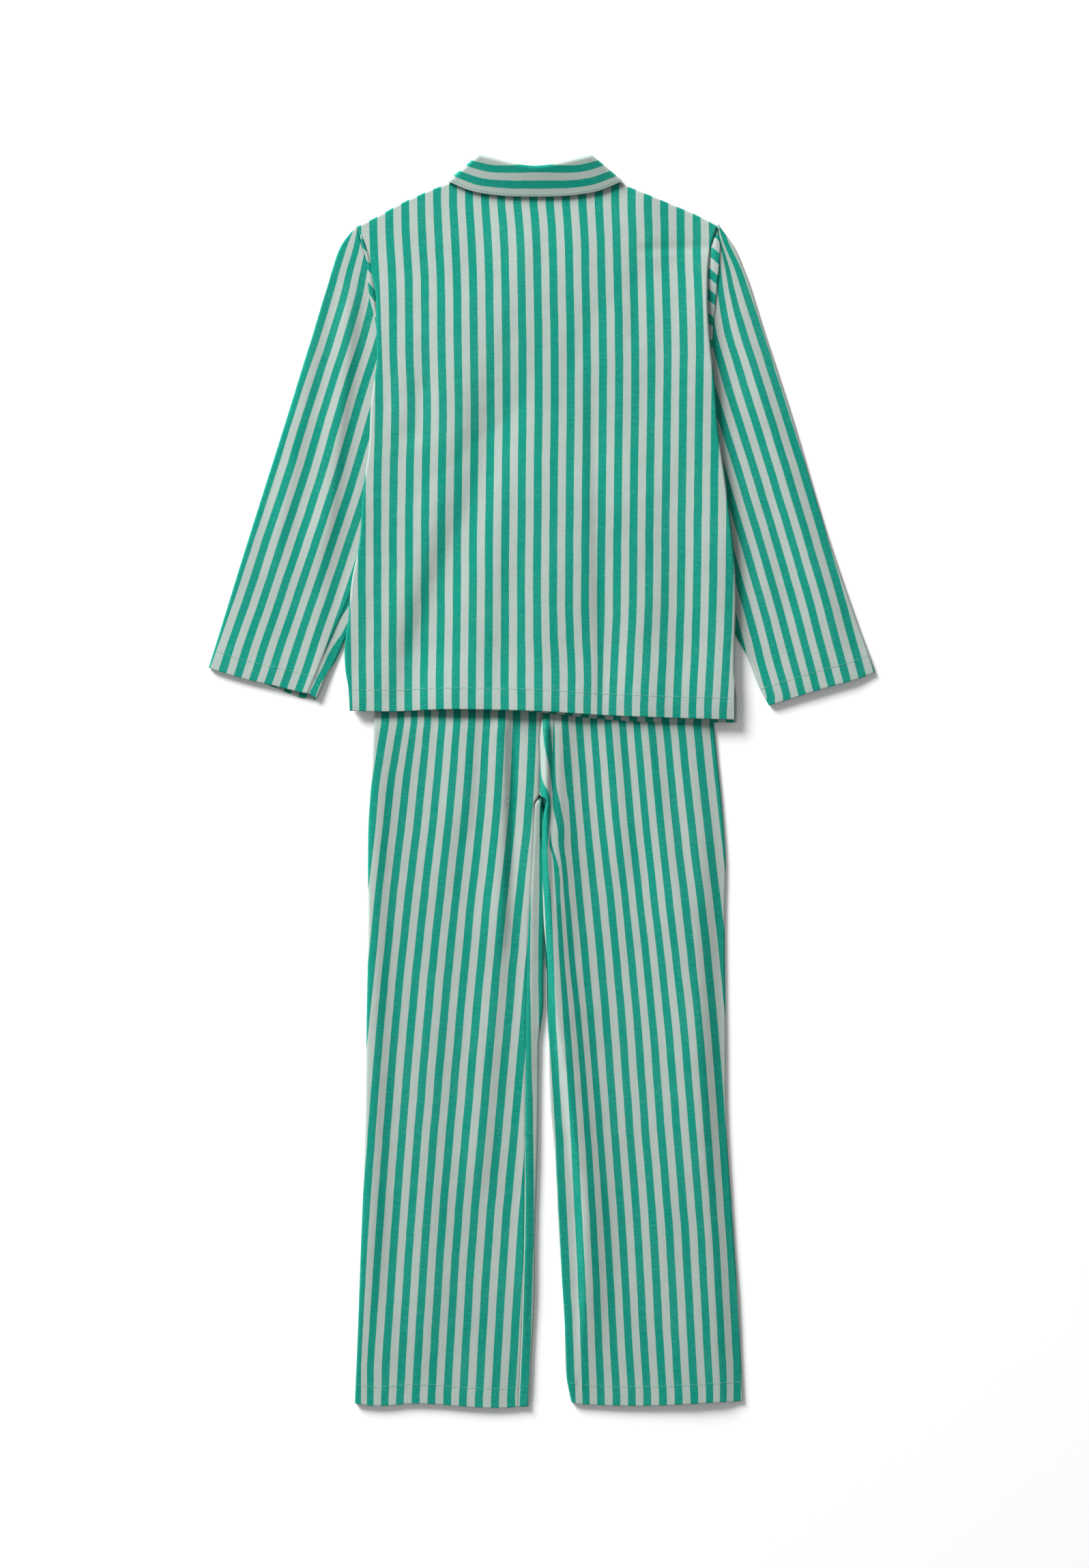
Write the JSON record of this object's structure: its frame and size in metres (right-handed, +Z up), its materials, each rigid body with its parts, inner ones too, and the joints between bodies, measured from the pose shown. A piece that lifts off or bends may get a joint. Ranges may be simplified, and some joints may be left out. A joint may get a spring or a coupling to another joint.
{
  "type": "pyjama set",
  "caption": "Child's striped cotton pyjama set laid flat, back up: a collared, buttoned long-sleeved jacket lying over the waist of straight, elastic-waisted trousers.",
  "frame": {"origin": "middle of the set's outline, on the surface that it lies on", "axes": "+X across the garments to the wearer's right, +Y from the trouser hems to the collar, +Z up from the surface, so the garments' backs face +Z"},
  "size_m": [0.625, 1.1762, 0.0119],
  "materials": {
    "jacket_back": "striped cotton poplin, matt",
    "jacket_front_left": "striped cotton poplin, matt",
    "jacket_front_right": "striped cotton poplin, matt",
    "sleeve_left": "striped cotton poplin, matt",
    "sleeve_right": "striped cotton poplin, matt",
    "collar": "striped cotton poplin, matt",
    "leg_left_back": "striped cotton poplin, matt",
    "leg_left_front": "striped cotton poplin, matt",
    "leg_right_back": "striped cotton poplin, matt",
    "leg_right_front": "striped cotton poplin, matt",
    "waistband": "striped cotton poplin, matt",
    "button": "cast resin, semi-matt"
  },
  "bodies": {
    "root": {"jacket_back": "jacket_back", "jacket_front_left": "jacket_front_left", "jacket_front_right": "jacket_front_right", "sleeve_left": "sleeve_left", "sleeve_right": "sleeve_right", "collar": "collar", "leg_left_back": "leg_left_back", "leg_left_front": "leg_left_front", "leg_right_back": "leg_right_back", "leg_right_front": "leg_right_front", "waistband": "waistband", "button_1": "button", "button_2": "button", "button_3": "button", "button_4": "button", "button_5": "button"}
  },
  "joints": []
}
